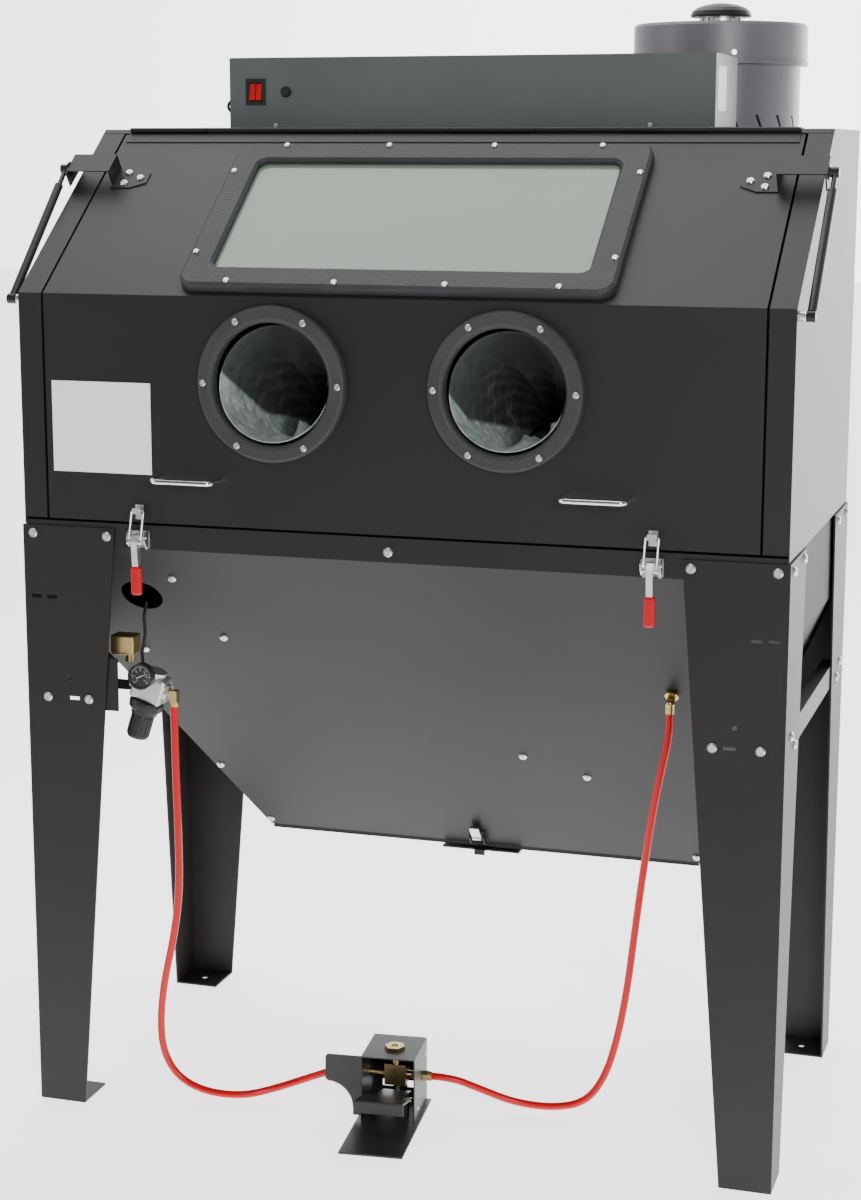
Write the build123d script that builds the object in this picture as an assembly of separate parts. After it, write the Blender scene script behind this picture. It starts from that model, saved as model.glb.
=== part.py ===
from build123d import *
import os
from math import atan2, cos, degrees, hypot, pi, radians, sin, tan

os.makedirs("parts", exist_ok=True)

# ---- driving dimensions, millimetres ------------------------------------
# Origin on the floor under the middle of the body, X right, Y back, Z up.
HALF_W = 610.0          # half the body's width
HALF_D = 320.0          # half the body's depth
SHEET = 2.0             # steel sheet of body, door and hopper
Z_BODY = 975.0          # underside of the body's side panels
Z_FOLD = 1340.0         # where the upright front meets the slope
Z_TOP = 1593.0          # top of the body
Y_CREST = 15.0          # where the slope meets the top
DOOR_HALF = 567.0       # half the door's width
DOOR_LOW = 985.0        # lower edge of the door
DOOR_TOP_S = 405.0      # upper edge of the door, measured up the slope
RING_X = 184.5          # glove ring centres
RING_Z = 1209.0
WINDOW_S = 187.7        # window centre, measured up the slope
Z_SILL = 943.0          # lower edge of the sill rail
Z_OUT = 350.0           # bottom of the hopper's slopes
LATCH_X = 410.0         # toggle latches, each side of the middle
HINGE_S = 412.0         # door hinge axis, up the slope and out from it
HINGE_N = 4.2
DOOR_SWING = 50.0       # degrees

SLOPE_LEN = hypot(Y_CREST + HALF_D, Z_TOP - Z_FOLD)
SY = (Y_CREST + HALF_D) / SLOPE_LEN
SZ = (Z_TOP - Z_FOLD) / SLOPE_LEN
SLOPE = Plane(origin=(0, -HALF_D, Z_FOLD), x_dir=(1, 0, 0), z_dir=(0, -SZ, SY))

HOP_TOP = (-316.0, Z_SILL)
HOP_LOW = (195.0, Z_OUT)
HOP_LEN = hypot(HOP_LOW[0] - HOP_TOP[0], HOP_TOP[1] - HOP_LOW[1])
HY = (HOP_LOW[0] - HOP_TOP[0]) / HOP_LEN
HZ = (HOP_TOP[1] - HOP_LOW[1]) / HOP_LEN
HOPPER = Plane(origin=(0, HOP_TOP[0], HOP_TOP[1]), x_dir=(1, 0, 0),
               z_dir=(0, -HZ, -HY))


# ---- small makers ---------------------------------------------------------
def box(x0, x1, y0, y1, z0, z1):
    """Block between the given coordinates."""
    mid = ((x0 + x1) / 2, (y0 + y1) / 2, (z0 + z1) / 2)
    return Pos(*mid) * Box(abs(x1 - x0), abs(y1 - y0), abs(z1 - z0))


def prism_x(points, x0, x1):
    """Outline in (y, z), pushed from x0 to x1."""
    line = Polyline(*[(x0, y, z) for y, z in points], close=True)
    return extrude(make_face(line), amount=x1 - x0, dir=(1, 0, 0))


def prism_y(points, y0, y1):
    """Outline in (x, z), pushed from y0 to y1."""
    line = Polyline(*[(x, y0, z) for x, z in points], close=True)
    return extrude(make_face(line), amount=y1 - y0, dir=(0, 1, 0))


def prism_z(points, z0, z1):
    """Outline in (x, y), pushed from z0 to z1."""
    line = Polyline(*[(x, y, z0) for x, y in points], close=True)
    return extrude(make_face(line), amount=z1 - z0, dir=(0, 0, 1))


def rod(start, end, radius):
    """Round bar between two points."""
    way = Vector(*end) - Vector(*start)
    low = (Align.CENTER, Align.CENTER, Align.MIN)
    return Plane(origin=start, z_dir=way) * Cylinder(radius, way.length, align=low)


def pipe(start, end, outer, inner):
    """Round tube between two points, open at both ends."""
    way = (Vector(*end) - Vector(*start)).normalized()
    a = Vector(*start) - way
    b = Vector(*end) + way
    return rod(start, end, outer) - rod(tuple(a), tuple(b), inner)


def lathe(profile, base, axis=(0, 0, 1)):
    """Turned piece: outline of (radius, height) about an axis through base."""
    line = Polyline(*[(r, 0, h) for r, h in profile], close=True)
    turned = revolve(make_face(line), Axis.Z)
    return Plane(origin=base, z_dir=axis) * turned


def on(plane, x, y, z):
    """Shared-frame position of a point given in a plane's own coordinates."""
    return tuple(plane.from_local_coords(Vector(x, y, z)))


def screw(at, way, radius=5.0, height=2.6):
    """Low round screw head standing on a face."""
    r = radius
    h = height
    outline = [(0, 0), (r, 0), (r, h * 0.45), (r * 0.72, h), (0.3 * r, h), (0.3 * r, 0.5 * h), (0, 0.5 * h)]
    return lathe(outline, at, way)


nodes = {}


def save(node, *shapes):
    """Put solids into a node; like pieces on one body share a node."""
    for shape in shapes:
        nodes.setdefault(node, []).extend(shape.solids())


def front_line(depth, z_low, s_high):
    """The front's folded line at a depth behind the outer face, as (y, z)."""
    crease = (-HALF_D + depth, Z_FOLD - depth * (1 - SZ) / SY)
    end = (-HALF_D + s_high * SY + depth * SZ, Z_FOLD + s_high * SZ - depth * SY)
    return [(-HALF_D + depth, z_low), crease, end]


def band(d0, d1, z_low, s_high, x0, x1):
    """Folded strip following the front between two depths."""
    outer = front_line(d0, z_low, s_high)
    inner = front_line(d1, z_low, s_high)
    return prism_x(outer + inner[::-1], x0, x1)


def mirrored(side, x0, x1):
    """Pair of x limits on the given side, in rising order."""
    return (side * x0, side * x1) if side > 0 else (-x1, -x0)


SIDES = {"left": -1, "right": 1}

# ---- body shell -------------------------------------------------------------
side_outline = [(-HALF_D, Z_BODY), (-HALF_D, Z_FOLD), (Y_CREST, Z_TOP), (HALF_D, Z_TOP), (HALF_D, Z_BODY)]
for name, side in SIDES.items():
    x0, x1 = mirrored(side, HALF_W - SHEET, HALF_W)
    save("body_panels", prism_x(side_outline, x0, x1))
    x0, x1 = mirrored(side, 571, 608)
    strip = band(0, 2, DOOR_LOW, SLOPE_LEN - 12, x0, x1)
    x0, x1 = mirrored(side, 571, 573)
    strip += band(1, 22, DOOR_LOW, SLOPE_LEN - 12, x0, x1)
    x0, x1 = mirrored(side, 552, 573)
    strip += band(20, 22, DOOR_LOW, SLOPE_LEN - 12, x0, x1)
    save("front_frame", strip)

DUCT = (345.0, 1440.0)   # x and z of the extraction duct in the back panel
back = box(-608, 608, HALF_D - SHEET, HALF_D, Z_BODY, Z_TOP - SHEET)
back -= rod((DUCT[0], 300, DUCT[1]), (DUCT[0], 340, DUCT[1]), 52)
save("body_panels", back)
top = box(-608, 608, 18, HALF_D, Z_TOP - SHEET, Z_TOP)
lid_line = [front_line(0, 0, 409)[2], (Y_CREST, Z_TOP), (18, Z_TOP), (18, Z_TOP - 2),
            front_line(2, 0, SLOPE_LEN - 1)[2], front_line(2, 0, 409)[2]]
top += prism_x(lid_line, -608, 608)
save("body_panels", top)

sill = box(-608, 608, -HALF_D, -HALF_D + SHEET, Z_SILL, 981)
sill += box(-608, 608, -HALF_D, -298, 979, 981)
sill += box(-608, 608, -300, -298, 979, 1000)
save("front_frame", sill)

# Rubber seal the shut door lies against: four flat strips behind its edge.
seal = band(13, 19.5, 1003, DOOR_TOP_S - 12, -566, -555)
seal += band(13, 19.5, 1003, DOOR_TOP_S - 12, 555, 566)
seal += box(-566, 566, -307, -300.5, 988, 1003)
seal += SLOPE * box(-566, 566, DOOR_TOP_S - 24, DOOR_TOP_S - 12, -19.5, -13)
save("door_seal", seal)

# ---- floor grate, lamp and gun inside ------------------------------------------
grate = box(-600, 600, -290, -284, 948, 956) + box(-600, 600, 304, 310, 948, 956)
for k in range(31):
    x = -600 + k * 39.6
    grate += box(x, x + 6, -290, 310, 948, 955)
save("floor_grate", grate)

lamp = pipe((-300, 200, 1560), (300, 200, 1560), 13, 11.5)
save("work_lamp", lamp)
holders = box(-316, -300, 184, 216, 1542, 1591) + box(300, 316, 184, 216, 1542, 1591)
save("work_lamp", holders)

gun_body = rod((-40, 285, 1330), (-40, 225, 1310), 17)
gun_body += rod((-40, 262, 1316), (-40, 268, 1230), 12)
gun_body += box(-52, 70, 282, 300, 1326, 1334) + box(-52, 70, 298, 318, 1300, 1350)
save("blast_gun", gun_body)
nozzle = lathe([(4, 0), (9, 0), (12, 42), (4, 42)], (-40, 184.5, 1296.5), (0, 0.9487, 0.3162))
save("blast_gun", nozzle)
pickup = rod((240, 232, 365), (240, 232, 930), 11) + box(214, 266, 232, 262, 360, 364)
pickup += rod((240, 232, 900), (240, 304, 900), 6)
save("blast_gun", pickup)

# ---- hopper ---------------------------------------------------------------------
KNEE = 835.0             # where the hopper's sides turn inwards
BOT_X = 397.0
outside_right = [(606, 1100), (606, KNEE), (BOT_X, Z_OUT), (BOT_X, 300), (760, 300), (760, 1100)]
outside_left = [(-x, z) for x, z in outside_right]
corner_cut = prism_y(outside_right, -400, 400) + prism_y(outside_left, -400, 400)

skin = 2 / HZ
front_out = [(HOP_TOP[0], Z_BODY), HOP_TOP, HOP_LOW]
front_in = [(HOP_LOW[0] + skin, Z_OUT), (HOP_TOP[0] + skin, Z_SILL), (HOP_TOP[0] + skin, Z_BODY)]
hopper_front = prism_x(front_out + front_in, -606, 606) - corner_cut
HAND_HOLE = (-448.0, 121.8, 35.0)
hopper_front -= HOPPER * Pos(HAND_HOLE[0], -HAND_HOLE[1], 0) * Cylinder(HAND_HOLE[2], 12)
save("hopper_front", hopper_front)

rear_out = [(316, Z_BODY), (316, Z_SILL), (270, Z_OUT)]
rear_in = [(267.8, Z_OUT), (313.8, Z_SILL), (313.8, Z_BODY)]
save("hopper_walls", prism_x(rear_out + rear_in, -606, 606) - corner_cut)

front_cut = [(-420, 1100), (-312, 1100), (-312, Z_SILL), (199, Z_OUT), (199, 300), (-420, 300)]
rear_cut = [(420, 1100), (313.2, 1100), (313.2, Z_SILL), (267.2, Z_OUT), (267.2, 300), (420, 300)]
keep_off = prism_x(front_cut, -700, 700) + prism_x(rear_cut, -700, 700)
for name, side in SIDES.items():
    wall = [(606, Z_BODY), (606, KNEE), (BOT_X, Z_OUT), (BOT_X - 2.2, Z_OUT), (603.8, KNEE), (603.8, Z_BODY)]
    wall = [(side * x, z) for x, z in wall]
    save("hopper_walls", prism_y(wall, -330, 330) - keep_off)

tray = box(-394, 394, 199.5, 266.5, Z_OUT - 8, Z_OUT - 6)
tray += box(-394, 394, 199.5, 201.5, Z_OUT - 7, Z_OUT) + box(-394, 394, 264.5, 266.5, Z_OUT - 7, Z_OUT)
tray += box(-394, -392, 200.5, 265.5, Z_OUT - 7, Z_OUT) + box(392, 394, 200.5, 265.5, Z_OUT - 7, Z_OUT)
tray -= box(-60, 66, 206, 258, 330, 348)
save("hopper_tray", tray)

# Clean-out flap under the tray, hinged along its rear edge.
FLAP_AXIS = (272.0, 338.0)
flap = box(-68, 73, 192, 268, 336.5, 339.5)
for x0 in (-54, 49):
    flap -= box(x0, x0 + 10, 263, 269, 336, 340)
flap += rod((-40, *FLAP_AXIS), (45, *FLAP_AXIS), 4.0)
flap -= rod((-60, *FLAP_AXIS), (60, *FLAP_AXIS), 2.05)
save("clean_out_flap", flap)
flap_hook = box(-7, 12, 186, 192, 336.5, 339.5) + box(-7, 12, 184, 186, 330, 339.5)
save("clean_out_flap", flap_hook)
flap_pin = rod((-52, *FLAP_AXIS), (57, *FLAP_AXIS), 2.0)
for x in (-52, 51):
    flap_pin += box(x, x + 6, 268, 276, 334, 342) + box(x, x + 6, 259, 276, 341.9, 342.0 + 1.9)
save("hopper_tray", flap_pin)

# Little over-centre catch for the flap, on the front plate's lower edge.
catch_base = HOPPER * box(-13, 18, -(HOP_LEN - 8), -(HOP_LEN - 40), 0, 1.6)
for x in (-11, 14):
    catch_base += HOPPER * box(x, x + 2, -(HOP_LEN - 14), -(HOP_LEN - 34), 1.5, 13)
catch_base += HOPPER * Pos(2.5, -(HOP_LEN - 28), 9) * Rot(0, 90, 0) * Cylinder(1.6, 25)
save("hopper_tray", catch_base)
catch_lever = HOPPER * box(-6, 11, -(HOP_LEN - 34), -(HOP_LEN - 60), 7, 11)
catch_lever += HOPPER * Pos(2.5, -(HOP_LEN - 28), 9) * Rot(0, 90, 0) * Cylinder(4.2, 16)
catch_lever += HOPPER * box(-6, 11, -(HOP_LEN - 28), -(HOP_LEN - 36), 7.5, 10.5)
catch_lever -= HOPPER * Pos(2.5, -(HOP_LEN - 28), 9) * Rot(0, 90, 0) * Cylinder(1.65, 40)
save("flap_catch_lever", catch_lever)

# ---- legs, braces and the bolts that hold them ------------------------------------
LEG_TOP = 973.0
PLATE = 3.0
leg_front = [(613, 0), (613, LEG_TOP), (454, LEG_TOP), (532, 0)]
leg_side = [(323, 0), (323, LEG_TOP), (164, LEG_TOP), (242, 0)]
FOOT_HOLE = (571.0, 281.0)
for name, side in SIDES.items():
    for end in (-1, 1):
        y0, y1 = (end * 320, end * 323) if end > 0 else (-323, -320)
        leg = prism_y([(side * x, z) for x, z in leg_front], y0, y1)
        x0, x1 = mirrored(side, 610, 613)
        leg += prism_x([(end * y, z) for y, z in leg_side], x0, x1)
        xf = mirrored(side, 533, 611)
        yf = (end * 243, end * 321)
        leg += box(*xf, min(yf), max(yf), 0, PLATE)
        leg -= rod((side * FOOT_HOLE[0], end * FOOT_HOLE[1], -1),
                   (side * FOOT_HOLE[0], end * FOOT_HOLE[1], 9), 6)
        for x, z, half in ((592, 857.5, 9), (566, 857, 9), (531, 693, 9)):
            leg -= box(side * x - half, side * x + half, end * 322 - 6, end * 322 + 6, z - 3, z + 3)
        leg -= rod((side * 538, end * 310, 725), (side * 538, end * 330, 725), 3.5)
        save("legs", leg)

for name, side in SIDES.items():
    x0, x1 = mirrored(side, 606.5, 609.8)
    brace = box(x0, x1, -300, 300, 677, 715)
    x0, x1 = mirrored(side, 590, 609.8)
    save("braces", brace + box(x0, x1, -236, 236, 712, 715))

bolts = [screw((0, -HALF_D, 959), (0, -1, 0), 7.5, 4.5)]
for side in (-1, 1):
    for end in (-1, 1):
        for x, z in ((595, 960), (467, 960), (577, 693), (505, 693)):
            bolts.append(screw((side * x, end * 323, z), (0, end, 0), 7.5, 4.5))
        for y, z in ((295, 959), (192, 961), (238, 686), (272, 706)):
            bolts.append(screw((side * 613, end * y, z), (side, 0, 0), 7.5, 4.5))
save("bolts", *bolts)

hopper_studs = []
for x, t in ((-380.5, 72.5), (-333, 221), (-486.7, 267), (-445.7, 601), (-393, 766),
             (128, 498), (231, 545), (393, 766)):
    hopper_studs.append(screw(on(HOPPER, x, -t, 0), (0, -HZ, -HY), 7.0, 4.0))
save("bolts", *hopper_studs)

# ---- door ---------------------------------------------------------------------------
door = band(0, 2, DOOR_LOW, DOOR_TOP_S, -DOOR_HALF, DOOR_HALF)
for side in (-1, 1):
    x0, x1 = mirrored(side, DOOR_HALF - 2, DOOR_HALF)
    door += band(1, 12, DOOR_LOW, DOOR_TOP_S, x0, x1)
door += box(-DOOR_HALF, DOOR_HALF, -319, -308.5, DOOR_LOW, DOOR_LOW + 2)
door -= SLOPE * Pos(0, WINDOW_S, 0) * Box(616, 285, 12)
for side in (-1, 1):
    door -= rod((side * RING_X, -335, RING_Z), (side * RING_X, -300, RING_Z), 101)
save("door_panel", door)

frame = SLOPE * Pos(0, WINDOW_S, 8) * Box(686, 354, 16)
frame = fillet(frame.edges().filter_by(lambda e: abs(e.length - 16) < 0.01), 26)
hole = SLOPE * Pos(0, WINDOW_S, 8) * Box(596, 265, 30)
hole = fillet(hole.edges().filter_by(lambda e: abs(e.length - 30) < 0.01), 16)
frame -= hole
rim = [e for e in frame.edges() if (SLOPE.to_local_coords(e.center())).Z > 15.9]
frame = chamfer(rim, 4.5)
frame -= SLOPE * Pos(0, WINDOW_S, 2.5) * Box(644, 313, 5.05)
save("window_frame", frame)
save("window_glass", SLOPE * Pos(0, WINDOW_S, 2.5) * Box(642, 311, 5))

window_screws = []
spots = [(x, s) for s in (-168, 168) for x in (-261, -87, 87, 261)]
spots += [(x, s) for x in (-332, 332) for s in (-101, 101)]
for x, s in spots:
    window_screws.append(screw(on(SLOPE, x, WINDOW_S + s, 16), (0, -SZ, SY), 5.0, 2.6))
save("door_fasteners", *window_screws)

ring_screws = []
for name, side in SIDES.items():
    centre = (side * RING_X, -HALF_D, RING_Z)
    outline = [(94, -6), (94, 10), (96.5, 13.5), (101, 15), (115, 15), (118.5, 12.5), (120, 8), (120, 0),
               (100.5, 0), (100.5, -6)]
    save("glove_rings", lathe(outline, centre, (0, -1, 0)))
    for k in range(6):
        a = radians(60 * k)
        at = (centre[0] + 109.3 * cos(a), -HALF_D - 15, RING_Z + 109.3 * sin(a))
        ring_screws.append(screw(at, (0, -1, 0), 5.0, 2.6))
save("door_fasteners", *ring_screws)

for name, side in SIDES.items():
    mouth = Plane(origin=(side * RING_X, -313.4, RING_Z), x_dir=(1, 0, 0), z_dir=(0, 1, 0))
    elbow_at = Plane(origin=(side * RING_X, -190, 1172), x_dir=(1, 0, 0), z_dir=(0, 0.93, -0.36))
    wrist = (side * RING_X, -30, 1100)
    cuff = Plane(origin=wrist, x_dir=(1, 0, 0), z_dir=(0, 0.93, -0.36))
    outer = loft([mouth * Circle(92.5), elbow_at * Circle(78), cuff * Circle(52)])
    inner = loft([mouth * Circle(91), elbow_at * Circle(76.4), cuff * Circle(50.4)])
    save("gloves", outer - inner)
    hand = lathe([(0, 1), (50, 1), (54, 40), (50, 120), (36, 160), (0, 172)], wrist, (0, 0.93, -0.36))
    tall = Plane(origin=wrist, z_dir=(0, 0.93, -0.36))
    hand = hand & (tall * Box(120, 68, 400))
    save("gloves", hand)

save("notice_plate_left", box(-556, -388, -321, -HALF_D, 1061, 1204))

for name, side in SIDES.items():
    a = side * 325 - 50
    b = side * 325 + 50
    path = FilletPolyline((a, -320, 1056), (a, -356, 1056), (b, -356, 1056), (b, -320, 1056), radius=11)
    bow = sweep(Plane(origin=(a, -320, 1056), z_dir=(0, -1, 0)) * Circle(4.2), path=path)
    save("door_handles", bow)

knuckles = 8
pitch = 140.0
AX = front_line(-HINGE_N, 0, HINGE_S)[2]
leaf_door = SLOPE * box(-560, 560, 384, 405, 0, 1.4)
leaf_body = box(-560, 560, 20, 38, Z_TOP, Z_TOP + 1.4)
for k in range(knuckles):
    x0 = -560 + k * pitch + 0.4
    x1 = x0 + pitch - 0.8
    barrel = rod((x0, *AX), (x1, *AX), 4.0)
    if k % 2:
        leaf_door += barrel + SLOPE * box(x0, x1, 404, 409.5, 0.1, 1.4)
    else:
        leaf_body += barrel + box(x0, x1, AX[0] + 1, 21, Z_TOP + 0.2, Z_TOP + 1.4)
bore = rod((-570, *AX), (570, *AX), 1.56)
save("hinge_leaf_door", leaf_door - bore)
save("hinge_leaf_body", leaf_body - bore)
save("hinge_leaf_body", rod((-560, *AX), (560, *AX), 1.5))

# ---- gas struts and their brackets ------------------------------------------------------
STRUT_X = 628.0
LOW = (-305.0, 1329.0)
UP = front_line(-20.0, 0, 286)[2]
strut_0 = hypot(UP[0] - LOW[0], UP[1] - LOW[1])
angle_0 = atan2(UP[1] - LOW[1], UP[0] - LOW[0])


def swung(point, angle):
    """A door point (y, z) after the door has opened by an angle in radians."""
    y = point[0] - AX[0]
    z = point[1] - AX[1]
    return (AX[0] + y * cos(angle) + z * sin(angle), AX[1] - y * sin(angle) + z * cos(angle))


full = radians(DOOR_SWING)
match = 0.83 * full     # the swing at which the constant ratios are exact
end = swung(UP, match)
strut_1 = hypot(end[0] - LOW[0], end[1] - LOW[1])
angle_1 = atan2(end[1] - LOW[1], end[0] - LOW[0])
rod_ratio = (strut_1 - strut_0) / match
swing_ratio = (angle_1 - angle_0) / match
print("strut", round(strut_0, 3), "to", round(strut_1, 3))
print("axis", round(cos(angle_0), 6), round(sin(angle_0), 6))
print("upper pivot", UP, "lower pivot", LOW, "door hinge", AX)
print("rod ratio m/rad", round(rod_ratio / 1000, 6), "swing ratio", round(swing_ratio, 6))

# Track of the rod's stud across the bracket as the door swings.
track = []
for k in range(26):
    turn = full * k / 25
    reach = strut_0 + rod_ratio * turn
    lean = angle_0 + swing_ratio * turn
    tip = (LOW[0] + reach * cos(lean), LOW[1] + reach * sin(lean))
    track.append(swung(tip, -turn))
far = max(track, key=lambda p: hypot(p[0] - UP[0], p[1] - UP[1]))
print("stud strays", round(hypot(far[0] - UP[0], far[1] - UP[1]), 2), "mm, at", far)

bracket_screws = []
for name, side in SIDES.items():
    foot = mirrored(side, 486, 545)
    bracket = SLOPE * box(*foot, 262, 314, 0, 2)
    bracket -= SLOPE * prism_z([(side * 484, 260), (side * 516, 260), (side * 484, 276)], -1, 3)
    bracket -= SLOPE * prism_z([(side * 484, 316), (side * 516, 316), (side * 484, 300)], -1, 3)
    rise = mirrored(side, 543, 545)
    bracket += SLOPE * box(*rise, 270, 314, 1, 29)
    reach = mirrored(side, 544, 618.4)
    bracket += SLOPE * box(*reach, 270, 314, 27, 29)
    lip = mirrored(side, 616, 618.4)
    bracket += SLOPE * box(*lip, 264, 314, 2, 28)
    for spot in track:
        ends = mirrored(side, 612, 622)
        bracket -= rod((ends[0], *spot), (ends[1], *spot), 3.4)
    save("strut_brackets", bracket)
    for x, s in ((524, 300), (500, 287), (524, 273)):
        bracket_screws.append(screw(on(SLOPE, side * x, s, 2), (0, -SZ, SY), 6.5, 3.2))

    along = (cos(angle_0), sin(angle_0))

    def on_axis(d, x=STRUT_X):
        return (side * x, LOW[0] + d * along[0], LOW[1] + d * along[1])

    tube = pipe(on_axis(6), on_axis(246), 7.0, 4.1)
    tube += rod((side * 621, *LOW), (side * 634.5, *LOW), 8.0)
    tube -= rod((side * 600, *LOW), (side * 630, *LOW), 4.05)
    tube -= rod(on_axis(10), on_axis(250), 4.1)
    save(f"strut_tube_{name}", tube)
    shaft = rod(on_axis(20), on_axis(strut_0), 4.0)
    shaft += rod((side * 621, *UP), (side * 634.5, *UP), 8.0)
    save(f"strut_rod_{name}", shaft)
    stud = rod((side * 612.4, *UP), (side * 621, *UP), 3.0)
    stud += rod((side * 618.8, *UP), (side * 621, *UP), 12.0)
    stud += rod((side * 612.4, *UP), (side * 615.6, *UP), 6.3)
    save(f"strut_rod_{name}", stud)
save("door_fasteners", *bracket_screws)
balls = []
for side in (-1, 1):
    pin = rod((side * 610, *LOW), (side * 629.5, *LOW), 4.0)
    balls.append(pin + rod((side * 610, *LOW), (side * 619, *LOW), 7.5))
save("bolts", *balls)

# ---- toggle latches -----------------------------------------------------------------------
PIVOT = (-334.0, 963.0)
LINK = (-343.0, 957.0)
BAR = (-328.5, 1004.7)
keepers = []
bases = []
for name, side in SIDES.items():
    c = side * LATCH_X
    keeper = box(c - 7, c + 7, -321.6, -320, 990, 1013)
    keeper += box(c - 7, c + 7, -334, -321, 1000, 1002.4)
    keeper += box(c - 7, c + 7, -334, -332, 1000, 1009)
    keepers.append(keeper)
    base = box(c - 16, c + 16, -322, -320, 945, 972)
    ear = [(-321, 946), (-321, 972), (-336, 972), (-340, 966), (-340, 958), (-332, 948)]
    for x in (c - 15.5, c + 13.5):
        base += prism_x(ear, x, x + 2)
    base += rod((c - 17, *PIVOT), (c + 17, *PIVOT), 2.0)
    for x in (c - 12, c + 12):
        base += rod((x, -325, 944), (x, -325, 952), 2.5)
    base += box(c - 15.5, c + 15.5, -328, -321, 950, 953)
    bases.append(base)
    lever = rod((c - 6, *PIVOT), (c + 6, *PIVOT), 5.0)
    arm = [(-330, 962), (-338, 967), (-347, 958), (-343, 918), (-334, 918), (-333, 950)]
    lever += prism_x(arm, c - 5, c + 5)
    lever += rod((c - 12, *LINK), (c + 12, *LINK), 2.0)
    lever -= rod((c - 20, *PIVOT), (c + 20, *PIVOT), 2.06)
    save(f"latch_lever_{name}", lever)
    grip = Pos(c, -338.5, 895) * Box(17, 12, 46)
    grip = fillet(grip.edges(), 4.5)
    save(f"latch_grip_{name}", grip)
    wire = FilletPolyline((c - 10, *LINK), (c - 10, *BAR), (c + 10, *BAR), (c + 10, *LINK), radius=4)
    start = Plane(origin=(c - 10, *LINK), z_dir=(0, BAR[0] - LINK[0], BAR[1] - LINK[1]))
    bail = sweep(start * Circle(1.8), path=wire)
    for x in (c - 10, c + 10):
        bail += rod((x - 2.3, *LINK), (x + 2.3, *LINK), 4.0)
    bail -= rod((c - 20, *LINK), (c + 20, *LINK), 2.06)
    save(f"latch_bail_{name}", bail)
save("door_fasteners", *keepers)
save("latch_bases", *bases)

# ---- control box on top -----------------------------------------------------------------------
BX = 412.0
BY0 = 82.0
BY1 = 272.0
BZ1 = 1711.0
shell = box(-BX, BX, BY0, BY1, Z_TOP + 0.1, BZ1)
shell -= box(-BX + 1.5, BX - 1.5, BY0 + 1.5, BY1 - 1.5, Z_TOP - 5, BZ1 - 1.5)
shell -= box(-379, -351, BY0 - 5, BY0 + 5, 1637, 1673)
shell -= rod((-311, BY0 - 5, 1655), (-311, BY0 + 5, 1655), 6)
save("control_box", shell)
save("notice_plate_box", box(BX, BX + 0.8, 100, 172, 1622, 1692))

bezel = box(-382.5, -347.5, BY0 - 2, BY0, 1633.5, 1676.5) + box(-379, -351, BY0, BY0 + 22, 1637, 1673)
bezel -= box(-376, -354, BY0 - 5, BY0 + 16, 1640, 1670)
bezel += box(-365.6, -364.4, BY0 - 1.5, BY0 + 17, 1639, 1671)
save("box_fittings", bezel)
ROCKER_PIN = (84.5, 1655.0)
for k, x in enumerate((-375.4, -364.0)):
    profile = [(81.5, 1641.5), (76.5, 1641.5), (80.8, 1655), (81.5, 1668.5), (90, 1666), (90, 1644)]
    rocker = prism_x(profile, x, x + 9.4)
    rocker += rod((x - 0.3, *ROCKER_PIN), (x + 9.7, *ROCKER_PIN), 2.0)
    save(f"rocker_{k + 1}", rocker)
fuse_line = [(0, -16), (5.5, -16), (5.5, 0), (9, 0), (9, 2.5), (7, 6), (0, 6)]
save("box_fittings", lathe(fuse_line, (-311, BY0, 1655), (0, -1, 0)))

loop_points = [(-BX, 150, 1650), (-428, 150, 1650), (-444, 144, 1634), (-428, 138, 1618), (-BX, 138, 1618)]
loop = FilletPolyline(*loop_points, radius=[8, 10, 8])
cable = sweep(Plane(origin=loop_points[0], z_dir=(-1, 0, 0)) * Circle(2.5), path=loop)
glands = []
for y, z in ((150, 1650), (138, 1618)):
    glands.append(pipe((-BX - 7, y, z), (-BX, y, z), 6.5, 2.6))
save("black_lines", cable)
save("box_fittings", *glands)
box_screws = [screw((x, BY0, 1599), (0, -1, 0), 4.0, 2.0) for x in (-330, 308)]
save("bolts", *box_screws)

# ---- dust collector behind the body --------------------------------------------------------------
CX = 345.0
CY = 480.0
drum = lathe([(136.5, 1332), (136.5, 1704), (139, 1704), (139, 1330), (0, 1330), (0, 1332)], (CX, CY, 0))
for k in range(20):
    a = radians(18 * k + 4)
    slot = Pos(CX, CY, 1606) * Rot(0, 0, degrees(a)) * Pos(139, 0, 0) * Rot(24, 0, 0) * Box(14, 5, 30)
    drum -= slot
drum -= rod((DUCT[0], 322, DUCT[1]), (DUCT[0], CY, DUCT[1]), 50)
save("collector_drum", drum)
duct = pipe((DUCT[0], 318.2, DUCT[1]), (DUCT[0], 352, DUCT[1]), 49.8, 47.5)
duct += pipe((DUCT[0], 320.1, DUCT[1]), (DUCT[0], 323, DUCT[1]), 66, 48)
save("collector_drum", duct)
hangers = box(CX - 90, CX + 90, 320, 323, 1520, 1560) + box(CX - 90, CX + 90, 320, 323, 1345, 1380)
for z0, z1 in ((1525, 1555), (1350, 1376)):
    wing = box(CX - 60, CX + 60, 322, 360, z0, z1)
    hangers += wing - rod((CX, CY, z0 - 5), (CX, CY, z1 + 5), 139.1)
save("collector_drum", hangers)
head = lathe([(0, 1704.2), (148, 1704.2), (152, 1704.2), (152, 1710), (150, 1710), (150, 1769), (146, 1774),
              (38, 1774), (38, 1771.5), (145, 1771.5), (147.5, 1768), (147.5, 1706.5), (0, 1706.5)],
             (CX, CY, 0))
head -= rod((CX, CY, 1700), (CX, CY, 1710), 60)
save("collector_head", head)
neck = lathe([(28, 1771.6), (37.5, 1771.6), (37.5, 1787), (28, 1787)], (CX, CY, 0))
for k in range(16):
    neck -= Pos(CX, CY, 1781) * Rot(0, 0, 22.5 * k) * Pos(36, 0, 0) * Box(8, 5, 9)
save("collector_neck", neck)
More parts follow.
